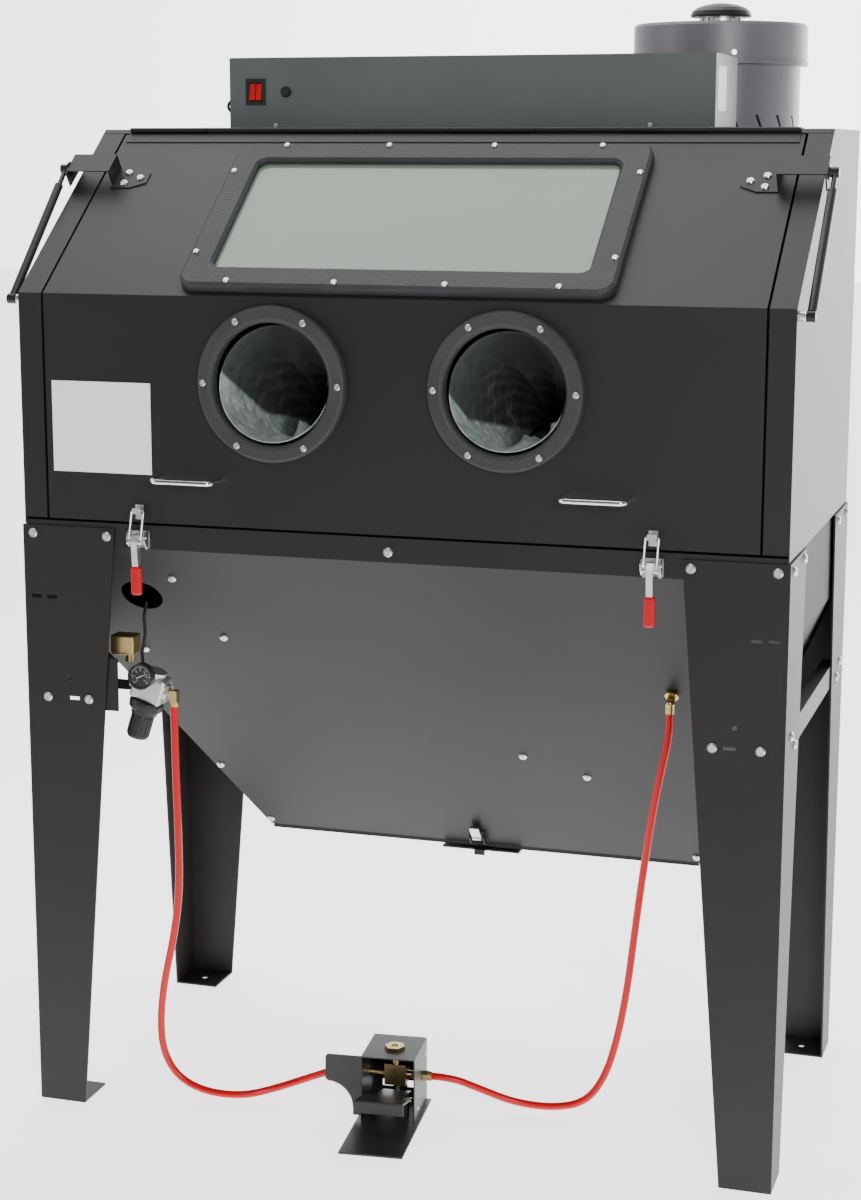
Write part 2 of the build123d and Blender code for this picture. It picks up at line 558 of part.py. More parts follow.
dome_line = [(0, 1787.1), (52, 1787.1), (53, 1790), (50, 1797), (42, 1803), (28, 1808),
             (12, 1810.5), (0, 1811)]
save("collector_dome", lathe(dome_line, (CX, CY, 0)))
filter_line = [(70, 1480), (96, 1480), (96, 1640), (70, 1640)]
save("filter_cartridge", lathe(filter_line, (CX, CY, 0)))
save("collector_head", lathe([(0, 1718), (54, 1718), (54, 1769), (0, 1769)], (CX, CY, 0)))
fan_line = [(0, 1656), (58, 1656), (58, 1658), (10, 1658), (10, 1700), (5, 1700), (5, 1717.6), (0, 1717.6)]
fan = lathe(fan_line, (CX, CY, 0))
for k in range(8):
    fan += Pos(CX, CY, 1666) * Rot(0, 0, 45 * k) * Pos(34, 0, 0) * Rot(0, 0, 20) * Box(44, 1.8, 17)
save("fan_wheel", fan)
head_screws = []
for k in range(4):
    a = radians(90 * k - 71)
    at = (CX + 150 * cos(a), CY + 150 * sin(a), 1722)
    head_screws.append(screw(at, (cos(a), sin(a), 0), 5.5, 3.0))
save("bolts", *head_screws)

# ---- air regulator by the left front leg ----------------------------------------------------------
TILT = radians(17.5)
REG = Plane(origin=(-412, -290, 711), x_dir=(cos(TILT), 0, -sin(TILT)), z_dir=(sin(TILT), 0, cos(TILT)))
body = REG * (fillet((Pos(0, 0, 2) * Box(54, 38, 44)).edges(), 5))
body += REG * Pos(0, 0, 27) * Cylinder(19, 8)
body += REG * Pos(29, 0, 4) * Rot(0, 90, 0) * Cylinder(14, 8)
body += REG * Pos(-29, 0, 4) * Rot(0, 90, 0) * Cylinder(13, 8)
save("regulator_body", body)
bonnet_line = [(0, -20.2), (27, -20.2), (28, -25), (27, -34), (22, -38), (21, -44), (0, -44)]
bonnet = REG * lathe(bonnet_line, (0, 0, 0))
save("regulator_bonnet", bonnet)
knob_line = [(0, -44.6), (17.5, -44.6), (18.8, -48), (18.8, -80), (16.5, -85), (12, -85), (11, -82), (0, -82)]
knob = REG * lathe(knob_line, (0, 0, 0))
for k in range(18):
    knob -= REG * Rot(0, 0, 20 * k) * Pos(19.2, 0, -63) * Box(2.2, 2.4, 40)
save("regulator_knob", knob)

GX = -415.0
GZ = 736.5
case = lathe([(0, 0), (21, 0), (21, 14), (18.5, 14), (18.5, 9), (0, 9)], (GX, -309.5 - 1.5, GZ), (0, -1, 0))
case += rod((GX, -311, GZ), (GX, -304, GZ - 4), 6) + rod((GX, -304, GZ - 3), (GX, -295, GZ - 8), 6)
case -= REG * Pos(0, 0, 2) * Box(54.2, 38.2, 44.2)
case -= REG * Pos(0, 0, 27) * Cylinder(19.2, 8.2)
case = case.solids().sort_by(SortBy.VOLUME)[-1]
save("regulator_bonnet", case)
save("gauge_face", rod((GX, -320.1, GZ), (GX, -320.9, GZ), 18.3))
save("gauge_lens", rod((GX, -323.6, GZ), (GX, -325, GZ), 18.4))
needle = rod((GX, -321, GZ), (GX, -322.6, GZ), 2.6)
needle += Pos(GX, -321.7, GZ) * Rot(0, -26, 0) * Pos(3, 0, 0) * Box(24, 1, 1.8)
save("gauge_face", needle)

holder = box(-484, -456, -319.8, -316.5, 676, 762) + box(-484, -480.8, -318, -272, 690, 750)
holder += box(-482, -446, -292, -288, 706, 722)
holder -= REG * Pos(0, 0, 2) * Box(54.4, 38.4, 44.4)
holder -= REG * Pos(-29, 0, 4) * Rot(0, 90, 0) * Cylinder(13.3, 8.4)
save("braces", holder)
inlet = fillet(box(-477, -437, -300, -268, 764, 796).edges(), 3)
inlet += rod((-449, -284, 765), (-449, -284, 752), 8)
inlet -= rod((-483, -284, 780), (-465, -284, 780), 6.6)
save("brass_fittings", inlet)


def lead(points, radii, radius):
    """Round cord along straight runs joined by tangent arcs."""
    path = FilletPolyline(*points, radius=radii)
    start = Vector(*points[0])
    way = Vector(*points[1]) - start
    return sweep(Plane(origin=start, z_dir=way) * Circle(radius), path=path), path.length


def easy_radii(points):
    """Arc radius at each inner point: 0.45 of the shorter run over tan(half the turn)."""
    found = []
    for k in range(1, len(points) - 1):
        a = Vector(*points[k]) - Vector(*points[k - 1])
        b = Vector(*points[k + 1]) - Vector(*points[k])
        turn = radians(a.get_angle(b))
        found.append(0.45 * min(a.length, b.length) / tan(turn / 2))
    return found


signal_points = [(-430, -258.4, 845), (-428, -274, 826), (-423, -282, 796), (-428, -285, 768),
                 (-424, -290, 744)]
signal, _ = lead(signal_points, [9, 18, 18], 2.6)
signal -= REG * Pos(0, 0, 27) * Cylinder(19.05, 8.0)
save("black_lines", signal.solids().sort_by(SortBy.VOLUME)[-1])

elbow = REG * Pos(38.2, 0, 4) * Rot(0, 90, 0) * Cylinder(6, 10.2)
elbow += box(-376.8, -364.5, -297, -283, 691, 710)
elbow += rod((-371.5, -290, 691), (-371.5, -290, 684), 7.5)
save("brass_fittings", elbow)

# ---- foot pedal ------------------------------------------------------------------------------------
P_ANGLE = radians(6)
PEDAL = Plane(origin=(-12.4, -378.7, 0), x_dir=(cos(P_ANGLE), sin(P_ANGLE), 0), z_dir=(0, 0, 1))
HOOD_F = 130.0
HOOD_R = 232.0
HOOD_Z = 112.0
base = box(-52, 52, 0, 235, 0, 3)
base += box(-30, -26, 142, 160, 2, 42) + box(26, 30, 142, 160, 2, 42)
base -= rod((-60, 150, 34), (60, 150, 34), 3.05)
save("pedal_housing", PEDAL * base)
hood = box(-45, 45, HOOD_F, HOOD_R, HOOD_Z - 2, HOOD_Z)
hood += box(-45, -43, HOOD_F, HOOD_R, 3, HOOD_Z) + box(43, 45, HOOD_F, HOOD_R, 3, HOOD_Z)
back_wall = box(-44, 44, HOOD_R - 2, HOOD_R, 3, HOOD_Z)
for x0, x1, z0, z1 in ((-30, -12, 22, 34), (12, 32, 22, 34), (-26, -12, 42, 52), (14, 30, 42, 52)):
    back_wall -= box(x0, x1, HOOD_R - 4, HOOD_R + 2, z0, z1)
hood += back_wall
top_edges = [edge for edge in hood.edges().filter_by(Axis.Y) if edge.center().Z > HOOD_Z - 0.1]
hood = fillet(top_edges, 1.9)
bite = [(-100 + 42 * sin(radians(9 * k)), 22 + 44 * cos(radians(9 * k))) for k in range(11)]
wing = prism_y([(-43.5, HOOD_Z), (-100, HOOD_Z), (-104, HOOD_Z - 4), (-104, 70)]
               + bite + [(-58, 10), (-43.5, 10)], HOOD_F, HOOD_F + 2)
hood += wing
hood -= rod((2, 178, HOOD_Z - 8), (2, 178, HOOD_Z + 4), 14)
hood -= rod((-60, 200, 58), (60, 200, 58), 7)
save("pedal_housing", PEDAL * hood)
valve = box(-16, 20, 178, 214, 46, 82) + rod((2, 190, 80), (2, 190, 96), 9)
valve = valve - rod((2, 196, 40), (2, 196, 70), 4.06)
save("pedal_valve", PEDAL * valve)
cap = rod((2, 178, 104), (2, 178, HOOD_Z), 13.9)
cap += Pos(2, 178, HOOD_Z) * extrude(RegularPolygon(17, 6), amount=4)
cap -= rod((2, 178, HOOD_Z + 1.5), (2, 178, HOOD_Z + 8), 6)
save("pedal_valve", PEDAL * cap)
fittings = []
for side in (-1, 1):
    face = -16 if side < 0 else 20
    part = rod((face, 200, 58), (side * 52, 200, 58), 6.0)
    part += Pos(side * 50.6, 200, 58) * Rot(0, 90, 0) * extrude(RegularPolygon(9, 6), amount=5, both=True)
    part += rod((side * 52, 200, 58), (side * 60, 200, 58), 8.0)
    fittings.append(PEDAL * part)
save("brass_fittings", *fittings)
stem = rod((2, 196, 30.4), (2, 196, 62), 4.0)
save("pedal_plunger", PEDAL * stem)
tip = radians(15)


def tread(d, h):
    """Point on the treadle's slope, d behind the pivot and h above its sheet."""
    return (150 + d * cos(tip) + h * sin(tip), 34 - d * sin(tip) + h * cos(tip))


treadle = prism_x([tread(-92, 4), tread(-92, 7), tread(58, 7), tread(58, 4)], -24, 24)
treadle += prism_x([tread(-92, 4), tread(-92, 7), tread(-14, 7), tread(-14, 4)], -40, 40)
lip_top = tread(-92, 7)
treadle += prism_x([lip_top, (lip_top[0], lip_top[1] - 21), (lip_top[0] + 2.5, lip_top[1] - 21),
                    (lip_top[0] + 2.5, lip_top[1])], -40, 40)
treadle += rod((-24, 150, 34), (24, 150, 34), 6.5)
treadle -= rod((-60, 150, 34), (60, 150, 34), 3.05)
save("pedal_treadle", PEDAL * treadle)
pin = rod((-34, 150, 34), (34, 150, 34), 3.0) + rod((-36, 150, 34), (-34, 150, 34), 5)
save("bolts", PEDAL * (pin + rod((34, 150, 34), (36, 150, 34), 5)))
tiny = []
for y, z in ((213, 92), (222, 40), (150, 22)):
    tiny.append(PEDAL * screw((45, y, z), (1, 0, 0), 3.5, 1.8))
save("bolts", *tiny)

# ---- red air hoses -------------------------------------------------------------------------------------
HOSE_R = 6.2


def ped(u, v, z):
    """Pedal coordinates to the shared frame."""
    return on(PEDAL, u, v, z)


left_route = [
    (-371.5, -290, 684), (-371.5, -290, 600), (-369, -289, 470), (-370, -287, 370),
    (-386, -281, 285), (-409, -270, 205), (-424, -254, 130), (-424, -243, 70),
    (-398, -238, 26), (-345, -240, 8.5), (-282, -234, 8.5), (-236, -206, 17),
    (-184, -191, 36), ped(-100, 200, 58), ped(-60, 200, 58)]
BULK = on(HOPPER, 405, -290, 0)
ELBOW = on(HOPPER, 405, -290, 20)
OUTLET = (405, ELBOW[1], ELBOW[2] - 15)
right_route = [
    ped(60, 200, 58), ped(94, 200, 58), (104, -153, 37), (160, -136, 13),
    (226, -130, 10.5), (276, -124, 25), (304, -112, 66), (322, -106, 130),
    (338, -108, 220), (351, -116, 330), (366, -128, 440), (382, -138, 545),
    (397, -142, 620), (405, ELBOW[1], 662), OUTLET]
for name, route in (("left", left_route), ("right", right_route)):
    radii = easy_radii(route)
    hose, run = lead(route, radii, HOSE_R)
    print("hose", name, "length", round(run, 1), "radii", [round(r) for r in radii])
    print("   volume", round(hose.volume), "section x length", round(pi * HOSE_R ** 2 * run),
          "low", round(hose.bounding_box().min.Z, 2))
    print("   route", [tuple(round(v, 3) for v in p) for p in route])
    runs = [(Vector(*b) - Vector(*a)).length for a, b in zip(route, route[1:])]
    print("   runs", [round(v) for v in runs])
    save(f"air_hose_{name}", hose)
bulkhead = rod(BULK, ELBOW, 6.5) + rod(BULK, on(HOPPER, 405, -290, 6), 11)
bulkhead += Pos(*ELBOW) * Sphere(8)
bulkhead += rod(ELBOW, OUTLET, 7.5)
save("brass_fittings", bulkhead)

for node, solids in nodes.items():
    whole = solids[0] if len(solids) == 1 else Compound(children=solids)
    whole.label = node
    export_step(whole, f"parts/{node}.step")
print(len(nodes), "nodes,", sum(len(s) for s in nodes.values()), "solids")
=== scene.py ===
import bpy
import numpy as np
from mathutils import Matrix


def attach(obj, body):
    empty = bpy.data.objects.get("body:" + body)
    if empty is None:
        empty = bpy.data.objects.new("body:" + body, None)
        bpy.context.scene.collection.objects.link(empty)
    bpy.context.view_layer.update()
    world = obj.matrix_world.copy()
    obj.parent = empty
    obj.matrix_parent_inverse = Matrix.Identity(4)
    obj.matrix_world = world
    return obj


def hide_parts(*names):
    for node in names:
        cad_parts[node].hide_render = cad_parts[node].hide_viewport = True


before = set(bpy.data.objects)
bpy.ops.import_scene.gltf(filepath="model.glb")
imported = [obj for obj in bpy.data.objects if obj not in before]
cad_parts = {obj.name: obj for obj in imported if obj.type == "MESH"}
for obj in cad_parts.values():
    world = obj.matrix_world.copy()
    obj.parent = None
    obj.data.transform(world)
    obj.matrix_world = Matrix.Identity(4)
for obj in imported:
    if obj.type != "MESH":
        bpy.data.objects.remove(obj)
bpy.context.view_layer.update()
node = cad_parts

# ---- camera ----------------------------------------------------------------------------------
# It stands 3.6 m in front of the cabinet's middle and 1.1 m to the right, at shoulder height, and
# looks a little down and to the left through a lens of about 69 mm.
AZIMUTH, ELEVATION, ROLL = np.radians([17.309, 11.017, -0.097])
level = np.array([np.cos(AZIMUTH), np.sin(AZIMUTH), 0.0])
inward = np.array([-np.sin(AZIMUTH), np.cos(AZIMUTH), 0.0])
ahead = inward * np.cos(ELEVATION) - np.array([0.0, 0.0, np.sin(ELEVATION)])
down = np.cross(ahead, level)
to_right = np.cos(ROLL) * level + np.sin(ROLL) * down
to_foot = np.cos(ROLL) * down - np.sin(ROLL) * level
camera = bpy.data.objects.new("camera", bpy.data.cameras.new("camera"))
turn = Matrix(np.column_stack([to_right, -to_foot, -ahead]).tolist()).to_4x4()
camera.matrix_world = Matrix.Translation((1.0864, -3.5882, 1.5556)) @ turn
camera.data.lens = 68.91
bpy.context.scene.collection.objects.link(camera)
bpy.context.scene.camera = camera

# ---- red air hoses ---------------------------------------------------------------------------
# 12.4 mm glossy plastic tube, pushed into brass fittings: one from the regulator to the pedal,
# one from the pedal to the bulkhead fitting in the hopper's front.
HOSE_R = 0.0062
REGULATOR_TO_PEDAL = [
    (-0.3715, -0.290, 0.684), (-0.3715, -0.290, 0.600), (-0.369, -0.289, 0.470), (-0.370, -0.287, 0.370),
    (-0.386, -0.281, 0.285), (-0.409, -0.270, 0.205), (-0.424, -0.254, 0.130), (-0.424, -0.243, 0.070),
    (-0.398, -0.238, 0.026), (-0.345, -0.240, 0.0085), (-0.282, -0.234, 0.0085), (-0.236, -0.206, 0.017),
    (-0.184, -0.191, 0.036), (-0.132758, -0.190248, 0.058), (-0.092977, -0.186067, 0.058)]
PEDAL_TO_HOPPER = [
    (0.026366, -0.173524, 0.058), (0.060179, -0.16997, 0.058), (0.104, -0.153, 0.037), (0.160, -0.136, 0.013),
    (0.226, -0.130, 0.0105), (0.276, -0.124, 0.025), (0.304, -0.112, 0.066), (0.322, -0.106, 0.130),
    (0.338, -0.108, 0.220), (0.351, -0.116, 0.330), (0.366, -0.128, 0.440), (0.382, -0.138, 0.545),
    (0.397, -0.142, 0.620), (0.405, -0.141842, 0.662), (0.405, -0.141842, 0.695257)]


def mix_colour(tree, low, high, factor):
    """Colour node between two linear colours, driven by a factor socket."""
    mix = tree.nodes.new("ShaderNodeMix")
    mix.data_type = "RGBA"
    mix.inputs["A"].default_value = (*low, 1)
    mix.inputs["B"].default_value = (*high, 1)
    tree.links.new(factor, mix.inputs["Factor"])
    return mix.outputs["Result"]


def noise(tree, place, scale, detail=4.0, rough=0.55):
    """Noise texture's factor at a scale in features per metre."""
    texture = tree.nodes.new("ShaderNodeTexNoise")
    texture.inputs["Scale"].default_value = scale
    texture.inputs["Detail"].default_value = detail
    texture.inputs["Roughness"].default_value = rough
    tree.links.new(place, texture.inputs["Vector"])
    return texture.outputs["Fac"]


def spread(tree, value, low, high, to_low=0.0, to_high=1.0):
    """Value stretched from one range to another, clamped at the ends."""
    ramp = tree.nodes.new("ShaderNodeMapRange")
    for name, number in (("From Min", low), ("From Max", high), ("To Min", to_low), ("To Max", to_high)):
        ramp.inputs[name].default_value = number
    tree.links.new(value, ramp.inputs["Value"])
    return ramp.outputs["Result"]


def bump(tree, height, depth, surface, strength=1.0):
    """Bump of the given depth in metres on a shader."""
    relief = tree.nodes.new("ShaderNodeBump")
    relief.inputs["Strength"].default_value = strength
    relief.inputs["Distance"].default_value = depth
    tree.links.new(height, relief.inputs["Height"])
    tree.links.new(relief.outputs["Normal"], surface.inputs["Normal"])


def finish(name, colour, rough, metal=0.0, vary=0.12, grain=900.0, relief=0.0, patch=7.0, **sockets):
    """Surface with cloudy colour and roughness, and a fine grain: patches per metre, grains per metre."""
    material = bpy.data.materials.new(name)
    material.use_nodes = True
    tree = material.node_tree
    surface = tree.nodes["Principled BSDF"]
    place = tree.nodes.new("ShaderNodeTexCoord").outputs["Object"]
    cloud = spread(tree, noise(tree, place, patch), 0.3, 0.7)
    low = [c * (1 - vary) for c in colour]
    high = [min(1.0, c * (1 + vary)) for c in colour]
    tree.links.new(mix_colour(tree, low, high, cloud), surface.inputs["Base Color"])
    fine = noise(tree, place, grain, 2.0)
    gloss = spread(tree, fine, 0.3, 0.7, rough * 0.9, min(1.0, rough * 1.12))
    tree.links.new(gloss, surface.inputs["Roughness"])
    surface.inputs["Metallic"].default_value = metal
    for socket, number in sockets.items():
        surface.inputs[socket.replace("_", " ")].default_value = number
    if relief:
        bump(tree, fine, relief, surface)
    return material


def paint(material, *names):
    """Give CAD nodes one material each."""
    for name in names:
        node[name].data.materials.clear()
        node[name].data.materials.append(material)


hose_red = finish("hose_red", (0.50, 0.0002, 0.0030), 0.30, vary=0.04, grain=9, Specular_IOR_Level=0.32)
HOSES = (("air_hose_left", REGULATOR_TO_PEDAL, 0.9956), ("air_hose_right", PEDAL_TO_HOPPER, 0.9543))
for name, route, length in HOSES:
    curve = bpy.data.curves.new(name + "_tube", "CURVE")
    curve.dimensions = "3D"
    line = curve.splines.new("NURBS")
    line.points.add(len(route) - 1)
    line.points.foreach_set("co", np.column_stack([route, np.ones(len(route))]).ravel())
    line.order_u = 3
    line.use_endpoint_u = True
    line.resolution_u = 12
    curve.bevel_depth = HOSE_R
    curve.bevel_resolution = 8
    curve.use_fill_caps = True
    curve.materials.append(hose_red)
    tube = bpy.data.objects.new(name + "_tube", curve)
    bpy.context.scene.collection.objects.link(tube)
    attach(tube, "frame")
    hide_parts(name)

# ---- studio ----------------------------------------------------------------------------------
# White floor in a white room that is brighter at its back. Soft lights stand overhead, at the
# right in front, at the left and at the right behind. The floor glows except in the foreground.
FLOOR_HALF = 25.0
FLOOR_Z = -0.0004
floor_mesh = bpy.data.meshes.new("floor")
corners = FLOOR_HALF * np.array([(-1, -1), (1, -1), (1, 1), (-1, 1)])
floor_mesh.from_pydata(np.column_stack([corners, np.full(4, FLOOR_Z)]).tolist(), [], [(0, 1, 2, 3)])
floor = bpy.data.objects.new("floor", floor_mesh)
bpy.context.scene.collection.objects.link(floor)
floor_white = finish("studio_floor", (0.93, 0.93, 0.93), 0.6, vary=0.01, grain=30)
glow_tree = floor_white.node_tree
glow_place = glow_tree.nodes.new("ShaderNodeSeparateXYZ")
glow_tree.links.new(glow_tree.nodes.new("ShaderNodeTexCoord").outputs["Object"], glow_place.inputs["Vector"])
glow = spread(glow_tree, glow_place.outputs["Y"], -1.7, -0.5, 0.0, 1.9)
glow_tree.nodes["Principled BSDF"].inputs["Emission Color"].default_value = (1, 1, 1, 1)
glow_tree.links.new(glow, glow_tree.nodes["Principled BSDF"].inputs["Emission Strength"])
floor.data.materials.append(floor_white)

world = bpy.data.worlds.new("white_room")
world.use_nodes = True
room = world.node_tree
bpy.context.scene.world = world
direction = room.nodes.new("ShaderNodeTexCoord").outputs["Generated"]
split = room.nodes.new("ShaderNodeSeparateXYZ")
room.links.new(direction, split.inputs["Vector"])
broad = spread(room, split.outputs["Y"], -0.3, 0.9, 0.14, 1.9)
narrow = spread(room, split.outputs["Y"], 0.8, 0.96, 0.0, 2.6)
total = room.nodes.new("ShaderNodeMath")
room.links.new(broad, total.inputs[0])
room.links.new(narrow, total.inputs[1])
room.links.new(total.outputs["Value"], room.nodes["Background"].inputs["Strength"])
room.nodes["Background"].inputs["Color"].default_value = (1, 1, 1, 1)


def soft_light(name, place, aim, width, height, watts):
    """Rectangular soft light at a place, facing a point."""
    lamp = bpy.data.lights.new(name, "AREA")
    lamp.shape = "RECTANGLE"
    lamp.size = width
    lamp.size_y = height
    lamp.energy = watts
    light = bpy.data.objects.new(name, lamp)
    back = np.subtract(place, aim) / np.linalg.norm(np.subtract(place, aim))
    side = np.cross((0, 0, 1), back) / np.linalg.norm(np.cross((0, 0, 1), back))
    turn = Matrix(np.column_stack([side, np.cross(back, side), back]).tolist()).to_4x4()
    light.matrix_world = Matrix.Translation(place) @ turn
    light.visible_camera = False
    bpy.context.scene.collection.objects.link(light)


soft_light("overhead", (-0.6, 0.5, 4.0), (0, 0, 0.8), 2.6, 3.4, 75)
soft_light("by_camera", (2.0, -3.9, 2.3), (0, 0, 1.1), 1.2, 1.2, 120)
soft_light("from_left", (-3.4, -1.8, 2.2), (0, 0, 1.0), 2.0, 2.4, 45)
soft_light("behind_right", (2.3, 4.2, 1.5), (0.6, 0, 1.2), 3.0, 3.4, 90)

# ---- powder-coated sheet ---------------------------------------------------------------------
# Body, door, legs and covers are folded from steel sheet, with a satin black powder coat that
# has a fine orange peel. The control box is a grey green and the collector a pale grey.
def powder(name, colour, rough, peel=0.00016, specular=0.32):
    """Powder coat: satin, with fine peel, faint dust and slight cloudiness."""
    material = finish(name, colour, rough, vary=0.10, grain=1100, relief=peel, patch=4.0,
                      Specular_IOR_Level=specular)
    tree = material.node_tree
    surface = tree.nodes["Principled BSDF"]
    place = tree.nodes.new("ShaderNodeTexCoord").outputs["Object"]
    smear = spread(tree, noise(tree, place, 2.2, 6.0, 0.65), 0.45, 0.75, 0.0, 0.35)
    clean = surface.inputs["Base Color"].links[0].from_socket
    dusty = tree.nodes.new("ShaderNodeMix")
    dusty.data_type = "RGBA"
    tree.links.new(clean, dusty.inputs["A"])
    dusty.inputs["B"].default_value = (*[c * 1.35 for c in colour], 1)
    tree.links.new(smear, dusty.inputs["Factor"])
    tree.links.new(dusty.outputs["Result"], surface.inputs["Base Color"])
    return material


black_coat = powder("black_powder_coat", (0.0115, 0.0112, 0.0110), 0.42)
paint(black_coat, "body_panels", "front_frame", "door_panel", "hinge_leaf_door", "hinge_leaf_body",
      "strut_brackets", "hopper_tray", "clean_out_flap", "braces")
leg_coat = powder("leg_powder_coat", (0.0135, 0.0122, 0.0112), 0.46, specular=0.28)
paint(leg_coat, "legs")
hopper_coat = powder("hopper_powder_coat", (0.0125, 0.0108, 0.0128), 0.40, specular=0.24)
paint(hopper_coat, "hopper_front")
# Painted shade: the hopper walls get the black powder coat made darker and almost without reflection, so they
# read as shaded.
shaded_wall_coat = powder("hopper_wall_painted_shade", (0.0075, 0.0072, 0.0070), 0.5, specular=0.08)
paint(shaded_wall_coat, "hopper_walls")
box_coat = powder("box_powder_coat", (0.090, 0.104, 0.102), 0.36)
paint(box_coat, "control_box")
drum_coat = powder("drum_powder_coat", (0.125, 0.117, 0.131), 0.34, specular=0.45)
paint(drum_coat, "collector_drum", "collector_head")
pedal_coat = powder("pedal_powder_coat", (0.018, 0.018, 0.018), 0.38)
paint(pedal_coat, "pedal_housing", "pedal_treadle")

# ---- moulded black plastic -------------------------------------------------------------------
# Window frame and glove rings are moulded with a coarse leather grain. Knobs, dome, bezel,
# glands and the fan are plain fine-grained mouldings, and the door seal is soft rubber.
def moulded(name, colour, rough, grain, depth):
    """Grained moulding: rounded cells, smoother in their valleys, with a dusting of finer grain."""
    material = finish(name, colour, rough, vary=0.15, grain=1500, patch=9.0, Specular_IOR_Level=0.3)
    tree = material.node_tree
    surface = tree.nodes["Principled BSDF"]
    place = tree.nodes.new("ShaderNodeTexCoord").outputs["Object"]
    cells = tree.nodes.new("ShaderNodeTexVoronoi")
    cells.feature = "SMOOTH_F1"
    cells.inputs["Scale"].default_value = grain
    tree.links.new(place, cells.inputs["Vector"])
    bump(tree, cells.outputs["Distance"], depth, surface)
    return material


grained = moulded("grained_moulding", (0.034, 0.0345, 0.037), 0.5, 420, 0.0008)
paint(grained, "window_frame", "glove_rings")
plain_plastic = moulded("plain_plastic", (0.018, 0.018, 0.0185), 0.38, 1200, 0.0001)
paint(plain_plastic, "collector_dome", "regulator_bonnet", "regulator_knob", "box_fittings", "fan_wheel")
paint(moulded("seal_rubber", (0.016, 0.016, 0.016), 0.7, 900, 0.0001), "door_seal", "black_lines")

# ---- window glass ----------------------------------------------------------------------------
# Toughened pane with a pale green tint, evenly hazed by grit on its inner face. The moulded
# frame's screws clamp it to the door.
glass = finish("frosted_glass", (0.225, 0.305, 0.235), 0.12, vary=0.05, grain=14, patch=1.6,
               Transmission_Weight=0.22, IOR=1.5, Coat_Weight=0.2, Coat_Roughness=0.05)
paint(glass, "window_glass")

# ---- bright metal ----------------------------------------------------------------------------
# Screws, latches, grate and plunger are zinc plated, handles are chrome and strut rods are dark
# nitrided steel. The valve and push-in fittings are turned brass, and the regulator is die-cast.
zinc = finish("bright_zinc", (0.70, 0.71, 0.72), 0.30, metal=1.0, vary=0.10, grain=700,
              relief=0.00004, patch=60)
paint(zinc, "bolts", "door_fasteners", "latch_bases", "latch_lever_left", "latch_lever_right",
      "latch_bail_left", "latch_bail_right", "flap_catch_lever", "pedal_plunger", "floor_grate")
chrome = finish("polished_chrome", (0.80, 0.80, 0.81), 0.10, metal=1.0, vary=0.03, grain=300)
paint(chrome, "door_handles")
nitrided = finish("nitrided_rod", (0.05, 0.05, 0.052), 0.28, metal=0.8, vary=0.06, grain=400)
paint(nitrided, "strut_rod_left", "strut_rod_right")
brass = finish("turned_brass", (0.60, 0.44, 0.20), 0.30, metal=1.0, vary=0.10, grain=1400,
               relief=0.00001, patch=35)
paint(brass, "brass_fittings", "pedal_valve")
cast = finish("die_cast", (0.62, 0.62, 0.60), 0.38, metal=0.9, vary=0.12, grain=650, relief=0.00008, patch=40)
paint(cast, "regulator_body", "blast_gun", "collector_neck")

# ---- gauntlet sleeves and gloves -------------------------------------------------------------
# Rubber-coated cloth sleeves are clamped behind the glove rings, sag into the cabinet in loose
# folds, and end in moulded gloves. The cloth is dark, greyed by grit where it lies lowest; on the
# sleeves that pale colour is also painted light on their lit lower and left walls, and painted
# shade takes it back deep inside them.
SLEEVE_R = 0.0905
SLEEVE_REACH = 0.2834


def sleeve_surface(around, along, centre, folds, phase):
    """Tube of falling radius on a sagging middle line, pressed in along drifting ridges.

    With t from 0 at the ring to 1, the middle line runs back by SLEEVE_REACH t and falls by
    0.06 t + 0.049 t squared. The radius is SLEEVE_R - 0.025 t - 0.0135 t squared, less each ridge:
    depth x rise(t) x exp(-(angle off it / width)^1.35).
    """
    radius = SLEEVE_R - 0.025 * along - 0.0135 * along ** 2
    rise = np.clip((along - 0.03) / 0.22, 0, 1) ** 1.3
    for at, drift, wide, depth in folds:
        off = (around - np.radians(at + drift * along) + np.pi) % (2 * np.pi) - np.pi
        radius = radius - depth * rise * np.exp(-(np.abs(off) / np.radians(wide)) ** 1.35)
    wrinkle = np.sin(7 * around + 9 * along + phase) * np.sin(31 * along + 2.2 * np.sin(around + phase))
    fine = np.sin(19 * around - 23 * along + 2 * phase) * np.sin(47 * along + 3 * np.sin(2 * around))
    radius = radius + rise * (0.0024 * wrinkle + 0.0009 * fine)
    fall = -(0.06 + 0.098 * along) / SLEEVE_REACH
    lean = np.sqrt(1 + fall ** 2)
    x = centre[0] + radius * np.cos(around)
    y = centre[1] + SLEEVE_REACH * along - radius * np.sin(around) * fall / lean
    z = centre[2] - 0.06 * along - 0.049 * along ** 2 + radius * np.sin(around) / lean
    return np.stack([x, y, z], axis=-1)


def grid_mesh(name, points):
    """Mesh of quads over a grid of points, joined round its second direction."""
    rows, columns = points.shape[:2]
    index = np.arange(rows * columns).reshape(rows, columns)
    beside = np.roll(index, -1, axis=1)
    quads = np.stack([index[:-1], beside[:-1], beside[1:], index[1:]], axis=-1).reshape(-1, 4)
    mesh = bpy.data.meshes.new(name)
    mesh.from_pydata(points.reshape(-1, 3).tolist(), [], quads.tolist())
    mesh.polygons.foreach_set("use_smooth", np.ones(len(mesh.polygons), bool))
    return mesh


def place_piece(name, mesh, material, body):
    """Link a finished mesh as a piece that rides on a body."""
    piece = bpy.data.objects.new(name, mesh)
    piece.data.materials.append(material)
    bpy.context.scene.collection.objects.link(piece)
    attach(piece, body)
    return piece


